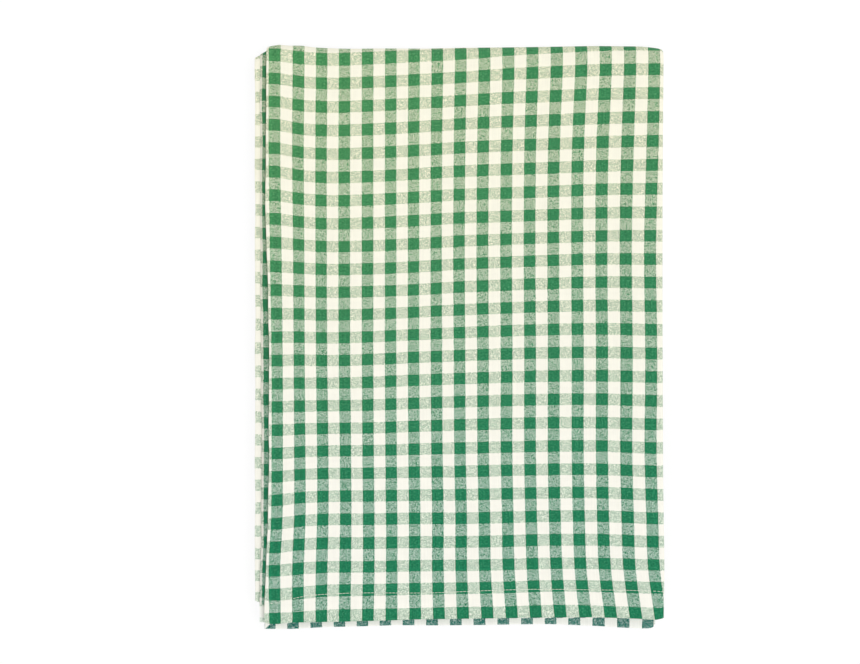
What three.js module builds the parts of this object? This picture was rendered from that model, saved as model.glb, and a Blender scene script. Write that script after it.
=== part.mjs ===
// A hemmed gingham tablecloth, folded in quarters across its width and again
// in quarters along its length, lying flat. It is one sheet, so it is one
// solid: a flat cloth whose corners are carried to their folded places.
// Millimetres, +Z up. The origin is under the middle of the folded cloth. +Y
// runs from the hem that shows to the crosswise fold, and +X to the right-hand
// fold.

import * as THREE from 'three';
import { mergeVertices } from 'three/addons/utils/BufferGeometryUtils.js';

// ---------------------------------------------------------------- the cloth

const CLOTH_WIDTH = 1400;
const CLOTH_LENGTH = 2000;
const SHEET = 1;
const AIR = 0.3;

const GREEN_CHECK = 0x3f8a5b;
const COTTON_ROUGHNESS = 0.9;

// ------------------------------------------------------------- how it folds

// Layers lie one pitch apart in the strip that the first folds make, and the
// strip lies on itself one band apart.
const PITCH = SHEET + AIR;
const BAND = 4 * PITCH;

// Across the width: a run of cloth at each of these levels, in pitches from
// the strip's middle. The first run starts at the front side hem, and the last
// one ends at the back side hem.
const STRIP_LEVELS = [-1.5, 1.5, 0.5, -0.5];

// Along the length: a run of the strip at each of these levels, in bands from
// the stack's middle. The first starts at the top end hem, which shows, and
// the last ends at the lower end hem.
const STACK_LEVELS = [1.5, -1.5, -0.5, 0.5];

// How far the other edges stand back from the two that reach furthest: the
// front side hem on the left, and the lower end hem in front.
const SIDE_FOLD_INSET = 10.4;
const BACK_HEM_INSET = 6.2;
const TOP_HEM_INSET = 5.8;
const NEAR_FOLD_INSET = 4.5;

// Where the long edges wander, because the folding was not quite square. Each
// row is a share of the way along the cloth, and says how far to the right of
// its own line each edge lies there.
const SIDE_WANDER = [
  { along: 0.000, frontHem: 0.0, backHem: -0.8, sideFold: -2.3, rightFold: 0.6 },
  { along: 0.025, frontHem: 0.0, backHem: -0.6, sideFold: -1.0, rightFold: 1.2 },
  { along: 0.060, frontHem: 0.0, backHem: 0.0, sideFold: 0.8, rightFold: 0.2 },
  { along: 0.140, frontHem: 0.2, backHem: 0.4, sideFold: 1.2, rightFold: -0.5 },
  { along: 0.190, frontHem: 0.0, backHem: 0.0, sideFold: -1.2, rightFold: -0.4 },
  { along: 0.245, frontHem: 0.0, backHem: 0.0, sideFold: 0.0, rightFold: 0.4 },
  { along: 0.375, frontHem: 1.6, backHem: -0.6, sideFold: 0.4, rightFold: -1.2 },
  { along: 0.500, frontHem: 1.2, backHem: 0.4, sideFold: -0.6, rightFold: -1.6 },
  { along: 0.625, frontHem: 2.2, backHem: -0.8, sideFold: 0.2, rightFold: -0.8 },
  { along: 0.750, frontHem: 1.0, backHem: 0.2, sideFold: -0.6, rightFold: -1.0 },
  { along: 0.875, frontHem: 0.8, backHem: -0.6, sideFold: -1.6, rightFold: -2.0 },
  { along: 1.000, frontHem: 1.2, backHem: -0.4, sideFold: -3.4, rightFold: -3.8 },
];

// How far the two end hems draw back from their lines. Each row is a place
// across the cloth. Near the side hems the cloth is drawn up shorter, and the
// top corner at the right-hand fold is turned under a little.
const END_DRAW = [
  { across: 0, topHem: 15.0, lowerHem: 17.0 },
  { across: 8, topHem: 9.5, lowerHem: 14.0 },
  { across: 345, topHem: 7.5, lowerHem: 1.0 },
  { across: 358, topHem: 6.5, lowerHem: 0.0 },
  { across: 362, topHem: 2.0, lowerHem: -0.5 },
  { across: 367, topHem: 0.0, lowerHem: -1.5 },
  { across: 530, topHem: 0.0, lowerHem: 1.0 },
  { across: 640, topHem: 0.2, lowerHem: 0.0 },
  { across: 692, topHem: -3.0, lowerHem: -2.4 },
  { across: 705, topHem: -1.5, lowerHem: -2.0 },
  { across: 718, topHem: 0.5, lowerHem: -2.4 },
  { across: 870, topHem: 1.0, lowerHem: 1.0 },
  { across: 1050, topHem: 3.0, lowerHem: -1.0 },
  { across: 1392, topHem: 8.0, lowerHem: 13.0 },
  { across: 1400, topHem: 11.0, lowerHem: 16.0 },
];

// How far the crosswise folds at the far end bow outwards, across the stack.
// Every layer has its facets at these places, so the bow spaces them evenly.
const FAR_BOW = [
  { x: -180, bow: 1.0 },
  { x: -158, bow: 2.0 },
  { x: -110, bow: -2.0 },
  { x: -50, bow: 0.2 },
  { x: 20, bow: 0.3 },
  { x: 100, bow: -0.3 },
  { x: 170, bow: 0.2 },
  { x: 180, bow: -0.8 },
];
const BOW_STARTS = 150;

// Low rises and hollows, as changes in the height of the stack's top.
const SWELLS = [
  { x: -95, y: 120, reach: 160, rise: 0.8 },
  { x: 110, y: 30, reach: 160, rise: 0.6 },
  { x: -20, y: -130, reach: 180, rise: -0.5 },
  { x: 60, y: 225, reach: 160, rise: 0.5 },
  { x: 150, y: -220, reach: 180, rise: -0.5 },
  { x: -150, y: -200, reach: 170, rise: 0.4 },
];

// --------------------------------------------------------- how it is faceted

// Where every straight run has its inner rows of facets, so that the layers
// keep their spacing, and the steps of each half turn.
const ROWS_ACROSS = FAR_BOW.slice(1, -1).map((row) => row.x);
const ROWS_ALONG = [-222, -150, -50, 50, 150, 215];
const STEPS_PER_TURN = 6;
const MERGE_DISTANCE = 1e-4;

// ------------------------------------------------------------ small helpers

const { clamp, lerp, smoothstep } = THREE.MathUtils;

// A column of a table, read between its rows.
function readTable(rows, placeName, column, place) {
  let row = 0;
  while (row < rows.length - 2 && place > rows[row + 1][placeName]) row += 1;
  const from = rows[row];
  const to = rows[row + 1];
  const share = (place - from[placeName]) / (to[placeName] - from[placeName]);
  return lerp(from[column], to[column], clamp(share, 0, 1));
}

// A line folded back and forth on itself: a run at each level, from one given
// end to the other, and half-circle turns between them. Each station has its
// place and level, the sheet's normal there, and the cloth used up to it.
function foldedLine(levels, ends, innerRows) {
  const stations = [];
  let used = 0;
  levels.forEach((level, run) => {
    const heading = run % 2 === 0 ? 1 : -1;
    const [start, end] = ends[run];
    const inner = heading > 0 ? innerRows : [...innerRows].reverse();
    for (const place of [start, ...inner, end]) {
      stations.push({
        place,
        level,
        normal: [0, heading],
        used: used + Math.abs(place - start),
      });
    }
    used += Math.abs(end - start);
    if (run === levels.length - 1) return;

    const rise = levels[run + 1] - level;
    const radius = Math.abs(rise) / 2;
    for (let step = 1; step < STEPS_PER_TURN; step += 1) {
      const angle = Math.PI * step / STEPS_PER_TURN;
      stations.push({
        place: end + heading * radius * Math.sin(angle),
        level: level + rise * (1 - Math.cos(angle)) / 2,
        normal: [-Math.sign(rise) * Math.sin(angle), heading * Math.cos(angle)],
        used: used + radius * angle,
      });
    }
    used += Math.PI * radius;
  });
  return stations;
}

// --------------------------------------------------- sizes that follow these

const OUTER_OF_STRIP = 1.5 * PITCH + SHEET / 2;
const OUTER_OF_SIDE_FOLD = 0.5 * PITCH + SHEET / 2;
const OUTER_OF_FAR_FOLD = 1.5 * BAND + OUTER_OF_STRIP;
const OUTER_OF_NEAR_FOLD = 0.5 * BAND + OUTER_OF_STRIP;

// Half-circle turns of 1.5, 0.5 and 0.5 pitches, or bands, take this much.
const TURNS_ACROSS = 2.5 * Math.PI * PITCH;
const TURNS_ALONG = 2.5 * Math.PI * BAND;

// The straight runs share what the turns leave of the cloth: four runs, each
// twice the half size of the stack, less the edges that stand back from it.
const HALF_WIDTH = (CLOTH_WIDTH - TURNS_ACROSS + 4 * OUTER_OF_STRIP
  + BACK_HEM_INSET + 2 * (SIDE_FOLD_INSET + OUTER_OF_SIDE_FOLD)) / 8;
const HALF_LENGTH = (CLOTH_LENGTH - TURNS_ALONG + 4 * OUTER_OF_FAR_FOLD
  + TOP_HEM_INSET + 2 * (NEAR_FOLD_INSET + OUTER_OF_NEAR_FOLD)) / 8;

const STACK_MIDDLE = 2 * BAND - AIR / 2;
const STACK_HEIGHT = 2 * STACK_MIDDLE;

// ------------------------------------------------------------ folded places

// The strip's cross-section, at a share of the way along the cloth.
function sectionAt(along) {
  const wander = (edge) => readTable(SIDE_WANDER, 'along', edge, along);
  const frontHem = -HALF_WIDTH + wander('frontHem');
  const backHem = -HALF_WIDTH + BACK_HEM_INSET + wander('backHem');
  const sideFold = -HALF_WIDTH + SIDE_FOLD_INSET + OUTER_OF_SIDE_FOLD + wander('sideFold');
  const rightFold = HALF_WIDTH - OUTER_OF_STRIP + wander('rightFold');
  const levels = STRIP_LEVELS.map((level) => level * PITCH);
  const ends = [
    [frontHem, rightFold],
    [rightFold, sideFold],
    [sideFold, rightFold],
    [rightFold, backHem],
  ];
  return foldedLine(levels, ends, ROWS_ACROSS);
}

// The way that the strip's middle takes through the stack.
function wayOfStrip() {
  const farFold = HALF_LENGTH - OUTER_OF_FAR_FOLD;
  const nearFold = -HALF_LENGTH + NEAR_FOLD_INSET + OUTER_OF_NEAR_FOLD;
  const levels = STACK_LEVELS.map((level) => STACK_MIDDLE + level * BAND);
  const ends = [
    [-HALF_LENGTH + TOP_HEM_INSET, farFold],
    [farFold, nearFold],
    [nearFold, farFold],
    [farFold, -HALF_LENGTH],
  ];
  return foldedLine(levels, ends, ROWS_ALONG);
}

// The far bow and the swells move all layers together, so that they never
// meet, and leave the underside flat.
function settle(point) {
  const { x, y } = point;
  const farness = smoothstep(y, BOW_STARTS, HALF_LENGTH);
  point.y += farness * readTable(FAR_BOW, 'x', 'bow', x);
  let rise = 0;
  for (const swell of SWELLS) {
    const away = Math.hypot(x - swell.x, y - swell.y) / swell.reach;
    rise += swell.rise * Math.exp(-2 * away * away);
  }
  point.z *= 1 + rise / STACK_HEIGHT;
}

// ----------------------------------------------------------------- the mesh

// The cloth lies flat at first, as a box with a cell from each station to the
// next, and each of its corners is carried to its folded place.
function foldedCloth() {
  const way = wayOfStrip();
  const sections = way.map((stop) => sectionAt(stop.used / CLOTH_LENGTH));
  const cellsAcross = sections[0].length - 1;
  const cellsAlong = way.length - 1;

  const cloth = new THREE.BoxGeometry(cellsAcross, cellsAlong, 1, cellsAcross, cellsAlong, 1);
  cloth.translate(cellsAcross / 2, cellsAlong / 2, 0);
  const corners = cloth.getAttribute('position');
  const corner = new THREE.Vector3();
  for (let index = 0; index < corners.count; index += 1) {
    corner.fromBufferAttribute(corners, index);
    const row = Math.round(corner.y);
    const stop = way[row];
    const spot = sections[row][Math.round(corner.x)];
    const side = Math.sign(corner.z) * SHEET / 2;
    const height = spot.level + side * spot.normal[1];

    let draw = 0;
    if (row === 0) draw = readTable(END_DRAW, 'across', 'topHem', spot.used);
    if (row === cellsAlong) draw = readTable(END_DRAW, 'across', 'lowerHem', spot.used);

    corner.set(
      spot.place + side * spot.normal[0],
      stop.place + draw + height * stop.normal[0],
      stop.level + height * stop.normal[1],
    );
    settle(corner);
    corners.setXYZ(index, corner.x, corner.y, corner.z);
  }

  cloth.computeBoundingBox();
  const middle = cloth.boundingBox.getCenter(new THREE.Vector3());
  cloth.translate(-middle.x, -middle.y, 0);

  cloth.deleteAttribute('normal');
  cloth.deleteAttribute('uv');
  const joined = mergeVertices(cloth, MERGE_DISTANCE);
  joined.computeVertexNormals();
  return joined;
}

const cotton = new THREE.MeshStandardMaterial({
  color: GREEN_CHECK,
  roughness: COTTON_ROUGHNESS,
  metalness: 0,
});

const tablecloth = new THREE.Mesh(foldedCloth(), cotton);
tablecloth.name = 'tablecloth';

const part = new THREE.Group();
part.add(tablecloth);

export default part;
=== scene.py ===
"""Dresses the folded gingham tablecloth.

The cloth is one sheet of cotton, 1400 x 2000 mm, with a double-turned hem on
all four sides. It is folded in quarters across its width and again in
quarters along its length, and lies flat.

A place on the flat cloth is given in millimetres: "across" runs from the front
side hem to the back side hem, and "along" from the top end hem, which shows,
to the lower end hem. Folded places are in millimetres too, and are turned to
metres when a mesh is made.
"""

import math

import bpy
import numpy as np
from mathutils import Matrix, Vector


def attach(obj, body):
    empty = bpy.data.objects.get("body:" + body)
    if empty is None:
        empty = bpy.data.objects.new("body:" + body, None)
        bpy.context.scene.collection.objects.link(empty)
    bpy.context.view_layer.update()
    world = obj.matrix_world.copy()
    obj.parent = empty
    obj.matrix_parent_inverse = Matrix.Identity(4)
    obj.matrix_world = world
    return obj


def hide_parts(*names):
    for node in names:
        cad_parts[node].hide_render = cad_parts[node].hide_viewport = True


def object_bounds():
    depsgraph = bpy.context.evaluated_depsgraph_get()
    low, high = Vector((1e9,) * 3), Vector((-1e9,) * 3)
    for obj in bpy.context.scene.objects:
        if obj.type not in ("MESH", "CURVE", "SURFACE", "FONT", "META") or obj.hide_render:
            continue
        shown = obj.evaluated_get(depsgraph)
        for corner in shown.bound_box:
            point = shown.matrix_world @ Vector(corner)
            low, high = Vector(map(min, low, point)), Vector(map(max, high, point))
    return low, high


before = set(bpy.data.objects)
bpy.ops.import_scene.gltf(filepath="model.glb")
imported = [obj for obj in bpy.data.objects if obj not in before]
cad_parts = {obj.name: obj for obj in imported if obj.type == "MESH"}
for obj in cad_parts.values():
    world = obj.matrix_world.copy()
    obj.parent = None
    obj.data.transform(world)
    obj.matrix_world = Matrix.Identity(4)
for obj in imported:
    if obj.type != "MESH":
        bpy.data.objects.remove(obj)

CAD_BOX = [list(corner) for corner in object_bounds()]
MM = 0.001


# ------------------------------------------------------------------ the cloth

CLOTH_WIDTH = 1400.0
CLOTH_LENGTH = 2000.0
SOLID_SHEET = 1.0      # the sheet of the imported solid, which sets the folds
SHEET = 0.7            # the cotton as it shows, so that its layers part
PITCH = 1.3            # from one layer to the next in the folded strip
BAND = 4 * PITCH       # from one strip to the next in the stack
AIR = PITCH - SOLID_SHEET

STRIP_LEVELS = [level * PITCH for level in (-1.5, 1.5, 0.5, -0.5)]
STACK_MIDDLE = 2 * BAND - AIR / 2
STACK_HEIGHT = 2 * STACK_MIDDLE
STACK_LEVELS = [STACK_MIDDLE + level * BAND for level in (1.5, -1.5, -0.5, 0.5)]

# How far the folds and hems lie inside the outermost edge beside them.
SIDE_FOLD_INSET = 10.4
INNER_FOLD_INSET = 0.5
BACK_HEM_INSET = 6.2
TOP_HEM_INSET = 5.8
NEAR_FOLD_INSET = 4.5


def table(names, rows):
    """A small table, as one row of numbers for each of its columns."""
    return dict(zip(names.split(), np.array(rows, float).T))


# How far each long edge wanders to the right of its own line, by the share of
# the way along the cloth.
SIDE_WANDER = table("share front_hem back_hem side_fold right_fold", [
    (0.000, 0.0, -2.2, -2.2, 0.6),
    (0.025, 0.0, -1.1, -0.8, 1.2),
    (0.040, 0.0, -0.6, 0.7, 0.8),
    (0.060, 0.0, -0.3, 1.5, 0.2),
    (0.090, 0.1, -0.4, 1.8, -0.1),
    (0.140, 0.2, -1.2, 1.2, -0.5),
    (0.160, 0.1, -1.5, -0.1, -0.5),
    (0.190, 0.0, -1.7, -1.3, -0.4),
    (0.220, 0.0, -1.7, -0.5, 0.0),
    (0.245, 0.0, -1.7, -0.7, 0.4),
    (0.375, 2.6, -0.6, 0.4, -2.2),
    (0.500, 5.5, 0.4, -0.6, -6.5),
    (0.625, 3.5, -0.8, 0.2, -2.0),
    (0.750, 1.0, 0.2, -0.6, -1.0),
    (0.875, 1.4, -0.6, -1.6, -3.0),
    (1.000, 3.8, -0.4, -2.1, -6.3),
])

# How far the two end hems draw back from their lines, across the cloth.
END_DRAW = table("across top_hem lower_hem", [
    (0, 17.0, 4.0),
    (7, 14.4, 3.6),
    (9, 13.8, 8.0),
    (30, 9.0, 8.0),
    (60, 9.0, 11.0),
    (320, 8.0, 11.0),
    (347.3, 8.0, 9.0),
    (348.5, 7.8, 1.6),
    (350, 7.5, -0.5),
    (353, 6.0, -1.8),
    (358, 2.3, -1.9),
    (362, 1.4, -1.9),
    (367, 0.2, -1.6),
    (373, 0.9, -1.3),
    (380, 1.5, -1.0),
    (397, 2.1, 0.2),
    (420, 2.8, 1.1),
    (440, 2.9, 1.9),
    (470, 2.7, 1.7),
    (500, 2.0, 1.1),
    (543, 1.4, 0.8),
    (576, 1.0, 1.0),
    (600, 0.1, 0.2),
    (640, -1.0, -0.8),
    (665, -1.4, -2.2),
    (685, -1.8, -2.3),
    (691.6, -2.3, -2.2),
    (694.2, -2.7, 3.0),
    (696.5, -3.1, 5.0),
    (704, -3.2, 5.0),
    (712, 1.0, 5.0),
    (870, 2.0, 7.0),
    (1050, 3.0, 8.0),
    (1370, 8.0, 11.0),
    (1392, 12.5, 13.0),
    (1400, 14.0, 16.0),
])

# How far the far crosswise folds bow outwards, across the stack.
FAR_BOW = table("x bow", [
    (-180, -4.5),
    (-176, -2.4),
    (-172, -0.6),
    (-169, 1.1),
    (-165, 2.6),
    (-158, 3.8),
    (-150, 3.1),
    (-138, 3.0),
    (-128, 1.7),
    (-118, 1.0),
    (-105, 0.5),
    (-65, 0.6),
    (-30, 0.5),
    (0, 1.1),
    (40, 1.5),
    (90, 2.2),
    (120, 2.7),
    (140, 2.5),
    (165, 1.8),
    (175, 0.4),
    (180, -1.0),
])
BOW_STARTS = 150.0     # the bow grows from here to the far fold
DRAW_REACH = 25.0      # a hem's draw is taken up within this of its edge
WIDER_REACH = 50.0     # and within this much more on the outer panels,
WIDENS = ((345, 250), (720, 850))     # which it comes to over these places
PLACE = (-0.4, 0.2)    # where the middle of the lines comes on the ground

# The small waver of the long edges: its waves' height, length and share of
# the turn that each edge has of its own.
EDGE_WAVES = [(0.20, 13.7, 1.0), (0.12, 8.1, 2.3)]
EDGE_TURNS = {"front_hem": 0.4, "back_hem": 2.6, "side_fold": 4.1, "inner_fold": 5.3}

# Low rises and hollows of the whole stack: place, reach and rise. The soft
# unevenness of the panel on top comes besides, but not close to its folds.
SWELLS = [
    (-95, 120, 160, 0.8),
    (110, 30, 160, 0.6),
    (-20, -130, 180, -0.5),
    (60, 225, 160, 0.5),
    (150, -220, 180, -0.5),
    (-150, -200, 170, 0.4),
]
SWELL_SHARPNESS = 2.0
LOFT_HEIGHTS = (0.16, 0.12, 0.05)
LOFT_FROM_SIDES = 25.0      # it is whole this far from the side folds,
LOFT_FROM_FAR_FOLD = 30.0   # and this far from the far fold

# The stitching of the top end hem strays. Its distance from the hem's edge.
TOP_STITCHING = table("across distance", [
    (0, 22.5),
    (340, 24.0),
    (365, 25.7),
    (418, 26.8),
    (466, 27.3),
    (523, 25.6),
    (549, 24.4),
    (634, 23.8),
    (654, 22.8),
    (668, 21.4),
    (678, 19.6),
    (700, 15.5),
    (740, 20.0),
    (800, 22.5),
    (1400, 22.5),
])
STITCHING = 22.5       # the same on the other three hems
HEM_BEYOND = 1.3       # the hem's inner edge lies this far past its stitching
HEM_BULK = 0.2         # a hem is this much thicker, on the wrong side
HEM_STEP = (0.6, 1.0)  # its thickness ends over this, before and behind there
STITCH_PINCH = 0.1     # the stitches press the cloth in by this
PINCH_REACH = 0.9
RIM_ROUND = (-0.12, 0.42)   # the sheet's rim is rounded between these
HEM_DROOP = 0.25       # the back side hem sinks by this
HEM_LIFT = 0.8         # and rises by this near the top end hem
HEM_LIFT_ENDS = (130, 300)  # along the cloth, the lift ends between these
HEM_LEAN = 16.0        # both grow over this much of the hem, to its edge

# How the weave of the top panel has been pulled out of square. Each column is
# a line across the stack, its place along the stack at its head, and each row
# is a line along the stack, its place across at its start. The first table is
# the lengthwise stripes' slip to the right, and the second is the crosswise
# stripes' slip towards the far end.
PULL_RIGHT = [
    (None, 235, 160, 85, -20, -105, -160, -200, -245),
    (-160, 3.0, 3.0, 4.0, 5.5, 5.5, 5.0, 3.0, 3.5),
    (-140, 3.5, 3.0, 3.5, 4.0, 4.5, 4.5, 3.0, 3.0),
    (-120, 3.0, 2.5, 2.5, 3.0, 4.0, 4.0, 3.0, 2.8),
    (-80, 2.0, 2.0, 2.0, 2.0, 2.5, 3.0, 3.0, 2.2),
    (-40, 1.5, 1.0, 1.0, 1.0, 1.5, 2.0, 2.0, 2.5),
    (0, 1.0, 0.0, -0.5, 0.0, 0.5, 1.5, 1.5, 3.0),
    (40, 1.5, 0.0, -0.5, 0.0, 0.0, 1.0, 1.7, 4.5),
    (80, 2.5, 0.0, -0.5, 0.0, 0.0, 1.0, 2.3, 5.5),
    (125, 4.2, 1.2, 0.5, 1.0, 1.0, 2.0, 3.3, 8.5),
    (168, 5.6, 4.0, 2.0, 3.0, 2.5, 4.0, 5.3, 11.0),
]
PULL_UP = [
    (None, 245, 200, 115, 50, -15, -75, -160, -195, -225, -245),
    (-160, -5.5, -4.5, -4.0, -4.5, -4.5, -3.5, -2.8, -2.6, -2.6, -3.4),
    (-140, -8.0, -8.0, -7.0, -5.6, -4.0, -2.5, -0.2, -0.4, -1.5, -2.4),
    (-120, -9.5, -9.5, -8.7, -6.7, -4.5, -2.0, 1.0, 0.7, 0.4, -1.2),
    (-80, -8.5, -8.5, -8.2, -6.3, -3.6, -1.5, 1.3, 0.9, 1.2, -0.5),
    (-40, -6.5, -6.5, -6.0, -4.6, -1.6, 0.0, 2.0, 1.8, 2.2, 0.0),
    (0, -4.5, -4.0, -3.6, -2.1, 0.0, 1.3, 2.1, 2.1, 2.8, 1.0),
    (40, -1.5, -1.7, -2.2, -0.3, 1.5, 2.3, 3.0, 2.8, 3.5, 1.0),
    (80, 0.5, -0.3, -0.7, 1.2, 2.5, 3.2, 4.0, 3.9, 4.8, 2.0),
    (125, 2.5, 1.5, 1.0, 2.4, 2.9, 3.2, 4.0, 3.7, 4.3, 1.0),
    (168, 3.0, 2.5, 1.5, 2.0, 1.8, 1.7, 2.1, 2.4, 3.1, -0.5),
]

# The same for the crosswise stripes on the two side hems of the top strip,
# whose stitching has shortened them, by the place along the stack.
HEM_PULL = table("y front_hem back_hem", [
    (-230, 15.5, -0.5),
    (-185, 12.0, 1.5),
    (-150, 11.0, 3.0),
    (-70, 8.0, 3.0),
    (-10, 6.5, 2.0),
    (50, 6.5, 3.5),
    (95, 4.5, 3.5),
    (150, 2.5, 2.5),
    (230, -2.0, 1.0),
])

# The slip to the right at the lower end hem, across the stack.
END_PULL = table("x right", [
    (-165, -1.5),
    (-105, -2.3),
    (-45, -3.5),
    (0, -3.2),
    (60, -2.5),
    (100, -2.3),
    (125, -1.4),
    (165, 0.7),
])

# The gingham: 68 repeats across the cloth and 97 along it, 23 yarns a stripe.
STRIPE_YARNS = 23
REPEAT_ACROSS = CLOTH_WIDTH / 68
REPEAT_ALONG = CLOTH_LENGTH / 97
FIRST_STRIPE = 12.75   # where the first green lengthwise stripe starts
TOP_PANEL_STRIPES = 532.6   # the cloth's place across, at the stack's middle
TOP_HEM_CHECKS = 247.5
FRONT_STRIPES = (2.5, 4.0)  # the front hem's stripes, at the two end hems
BACK_STRIPES = 1404.4       # the back hem's stripes, from the same start
SLIP_FADES = 160.0          # past the top strip the slip fades over this much
END_SLIP_WHOLE = 20.0       # the lower end hem's slip is whole within this
FRONT_END_SLIP = 4.4        # the crosswise stripes' slip where the front hem ends


# ------------------------------------------------------------- small helpers

def soft_step(low, high, value):
    """0 below low, 1 above high, and a smooth climb between."""
    share = np.clip((value - low) / (high - low), 0, 1)
    return share * share * (3 - 2 * share)


def read_straight(rows, place, column, at):
    """A column of a table, on straight lines between its rows."""
    return np.interp(at, rows[place], rows[column])


def smooth_line(places, values, at):
    """Reads a smooth line through values, which may be one number for each
    place, or one array for each with the shape of the places asked for."""
    slopes = np.gradient(values, places, axis=0)
    at = np.clip(at, places[0], places[-1])
    row = np.clip(np.searchsorted(places, at, side="right") - 1, 0, len(places) - 2)
    step = places[row + 1] - places[row]
    share = (at - places[row]) / step
    rest = 1 - share

    def pick(lines, number):
        if lines.ndim == 1:
            return lines[number]
        return np.take_along_axis(lines, number[None], axis=0)[0]

    start = pick(values, row) * (1 + 2 * share) + pick(slopes, row) * step * share
    end = pick(values, row + 1) * (1 + 2 * rest) - pick(slopes, row + 1) * step * rest
    return start * rest * rest + end * share * share


def read_smooth(rows, place, column, at):
    """A column of a table, on a smooth line through its rows."""
    return smooth_line(rows[place], rows[column], at)


def read_pull(grid, x, y):
    """A table of pulls, read smoothly both ways."""
    along_places = np.array(grid[0][1:], float)[::-1]
    rows = np.array(grid[1:], float)
    lines = [smooth_line(rows[:, 0], column, x) for column in rows[:, :0:-1].T]
    return smooth_line(along_places, np.stack(lines), y)


def waver(along, edge):
    """The small waver of a long edge."""
    turn = EDGE_TURNS[edge]
    return sum(height * np.sin(along / length + share * turn) for height, length, share in EDGE_WAVES)


def placed(name, data):
    """A new object in the scene, at its origin."""
    made = bpy.data.objects.new(name, data)
    bpy.context.scene.collection.objects.link(made)
    return made


# --------------------------------------------------------- stations on a line

def run_stations(run, from_start, places, from_end):
    """A straight run's stations: distances from its start, fixed places, and
    distances from its end."""
    first = [(run, "start", distance) for distance in from_start]
    middle = [(run, "place", place) for place in places]
    last = [(run, "end", distance) for distance in from_end]
    return first + middle + last


def turn_stations(run, steps):
    """The stations of the half turn that follows a run."""
    return [(run, "turn", math.pi * step / steps) for step in range(1, steps)]


def every(start, end, step):
    """Places from start to end, about a step apart."""
    return list(np.linspace(start, end, round(abs(end - start) / step) + 1))


def fold_line(stations, levels, ends):
    """Carries stations along a line that folds back and forth on itself.

    ends holds each run's start and end. They may be arrays, one number for
    each row of the cloth. Gives the stations' places and levels, the two parts
    of the sheet's normal there, and the cloth used up to each.
    """
    used_before = [0.0]
    for run in range(len(levels) - 1):
        start, end = ends[run]
        radius = abs(levels[run + 1] - levels[run]) / 2
        used_before.append(used_before[-1] + abs(end - start) + math.pi * radius)

    found = []
    for run, kind, amount in stations:
        start, end = ends[run]
        heading = 1 if run % 2 == 0 else -1
        if kind == "turn":
            rise = levels[run + 1] - levels[run]
            radius = abs(rise) / 2
            place = end + heading * radius * math.sin(amount)
            level = levels[run] + rise * (1 - math.cos(amount)) / 2
            lean = -np.sign(rise) * math.sin(amount)
            up = heading * math.cos(amount)
            used = used_before[run] + abs(end - start) + radius * amount
        else:
            place = {
                "start": start + heading * amount,
                "place": amount + 0 * start,
                "end": end - heading * amount,
            }[kind]
            level, lean, up = levels[run], 0.0, heading
            used = used_before[run] + abs(place - start)
        rows = np.ones_like(np.asarray(start, float))
        found.append([rows * part for part in (place, level, lean, up, used)])
    return [np.stack(part, axis=-1) for part in zip(*found)]


# Stations across the cloth. The panel on top has the closest ones.
RIM = [0.0, 0.12, 0.4]
SIDE_HEM = RIM + [2.0, 6.0, 12.0, 18.0, 21.0, STITCHING, 24.2, 27.0]
ACROSS = (
    run_stations(0, SIDE_HEM, every(-140, 160, 17), [7.0, 0.0])
    + turn_stations(0, 8)
    + run_stations(1, [0.0, 2.0, 4.0], every(165, -158, 5), [3.0, 0.0])
    + turn_stations(1, 8)
    + run_stations(2, [0.0, 7.0], every(-150, 158, 17), [7.0, 0.0])
    + turn_stations(2, 8)
    + run_stations(3, [0.0, 7.0], every(158, -134, 17), SIDE_HEM[::-1])
)

# Stations along the cloth. The strip on top has the closest ones, and its hem
# has more, so that the stitching can stray.
TOP_HEM = RIM + [2.0, 4.5, 7.0, 10.0, 13.0] + every(15, 29, 1)
LOWER_HEM = SIDE_HEM[:4] + [4.0, 6.0, 9.0, 12.0, 15.0, 18.0] + SIDE_HEM[7:]
ALONG = (
    run_stations(0, TOP_HEM, every(-214, 222, 5), [15.0, 10.0, 6.0, 3.0, 0.0])
    + turn_stations(0, 14)
    + run_stations(1, [0.0, 8.0], every(225, -225, 18), [8.0, 0.0])
    + turn_stations(1, 10)
    + run_stations(2, [0.0, 8.0], every(-225, 225, 18), [8.0, 0.0])
    + turn_stations(2, 10)
    + run_stations(3, [0.0, 8.0], every(225, -215, 18), LOWER_HEM[::-1])
)

OUTER_OF_STRIP = 1.5 * PITCH + SOLID_SHEET / 2
OUTER_OF_SIDE_FOLD = 0.5 * PITCH + SOLID_SHEET / 2
OUTER_OF_FAR_FOLD = 1.5 * BAND + OUTER_OF_STRIP
OUTER_OF_NEAR_FOLD = 0.5 * BAND + OUTER_OF_STRIP
TURNS_ACROSS = 2.5 * math.pi * PITCH
TURNS_ALONG = 2.5 * math.pi * BAND
HALF_WIDTH = (
    CLOTH_WIDTH - TURNS_ACROSS + 4 * OUTER_OF_STRIP + BACK_HEM_INSET
    + 2 * (SIDE_FOLD_INSET + OUTER_OF_SIDE_FOLD)
) / 8
HALF_LENGTH = (
    CLOTH_LENGTH - TURNS_ALONG + 4 * OUTER_OF_FAR_FOLD + TOP_HEM_INSET
    + 2 * (NEAR_FOLD_INSET + OUTER_OF_NEAR_FOLD)
) / 8


# -------------------------------------------------------------- folded places

def way_of_strip():
    """The way that the folded strip takes through the stack."""
    far = HALF_LENGTH - OUTER_OF_FAR_FOLD
    near = -HALF_LENGTH + NEAR_FOLD_INSET + OUTER_OF_NEAR_FOLD
    ends = [
        (-HALF_LENGTH + TOP_HEM_INSET, far),
        (far, near),
        (near, far),
        (far, -HALF_LENGTH),
    ]
    return fold_line(ALONG, STACK_LEVELS, ends)


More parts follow.
